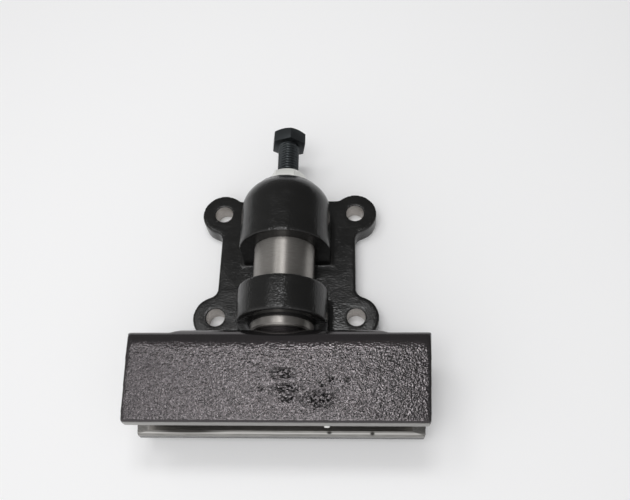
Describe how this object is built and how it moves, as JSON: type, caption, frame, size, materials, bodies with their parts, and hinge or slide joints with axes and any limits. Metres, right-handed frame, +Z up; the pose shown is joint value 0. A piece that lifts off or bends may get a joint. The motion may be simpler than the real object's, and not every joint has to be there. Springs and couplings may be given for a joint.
{
  "type": "elevator guide shoe",
  "caption": "Spring-loaded swivel guide shoe: cast base with barrel and collar, round plunger, adjusting bolt with locknut, and a cast channel that straddles the rail blade.",
  "frame": {"origin": "middle of the mounting holes, on the underside of the plate", "axes": "+Z up out of the plate, +Y along the plunger from the shoe to the adjusting bolt, +X along the shoe"},
  "size_m": [0.1964, 0.2282, 0.0704],
  "materials": {
    "black_paint": "satin black paint over cast iron",
    "black_paint_machined": "black paint on a rough casting, front edges machined bare",
    "ground_steel": "ground",
    "filled_nylon": "matte",
    "zinc_plate": "bright zinc plate",
    "spring_steel": "oiled dark steel",
    "black_oxide": "black oxide"
  },
  "bodies": {
    "base": {"base_casting": "black_paint"},
    "thrust": {"thrust_washer": "spring_steel", "spring": "spring_steel"},
    "shoe": {"plunger": "ground_steel", "shoe_casting": "black_paint_machined", "shoe_pin": "ground_steel", "liner": "filled_nylon", "liner_screws": "zinc_plate"},
    "follower": {"follower": "spring_steel"},
    "adjuster": {"adjusting_bolt": "black_oxide"},
    "nut": {"locknut": "zinc_plate"}
  },
  "joints": [
    {"name": "plunger_slide", "type": "slide", "parent": "base", "child": "thrust", "axis": [0, 1, 0], "range_m": [0, 0.005], "stiffness_N_per_m": 15000, "deforming": ["spring"]},
    {"name": "shoe_swivel", "type": "hinge", "parent": "thrust", "child": "shoe", "pos_m": [0, -0.075, 0.03775], "axis": [0, -1, 0], "continuous": true},
    {"name": "adjuster_feed", "type": "slide", "parent": "base", "child": "follower", "axis": [0, -1, 0], "range_m": [-0.00231, 0.00462]},
    {"name": "adjuster_turn", "type": "hinge", "parent": "follower", "child": "adjuster", "pos_m": [0, 0.056, 0.03775], "axis": [0, -1, 0], "range_deg": [-360, 720]},
    {"name": "locknut_turn", "type": "hinge", "parent": "base", "child": "nut", "pos_m": [0, 0.056, 0.03775], "axis": [0, -1, 0], "range_deg": [-180, 0]}
  ],
  "couplings": [
    {"joint": "adjuster_turn", "follows": "adjuster_feed", "rad_per_m": 2721.1}
  ]
}
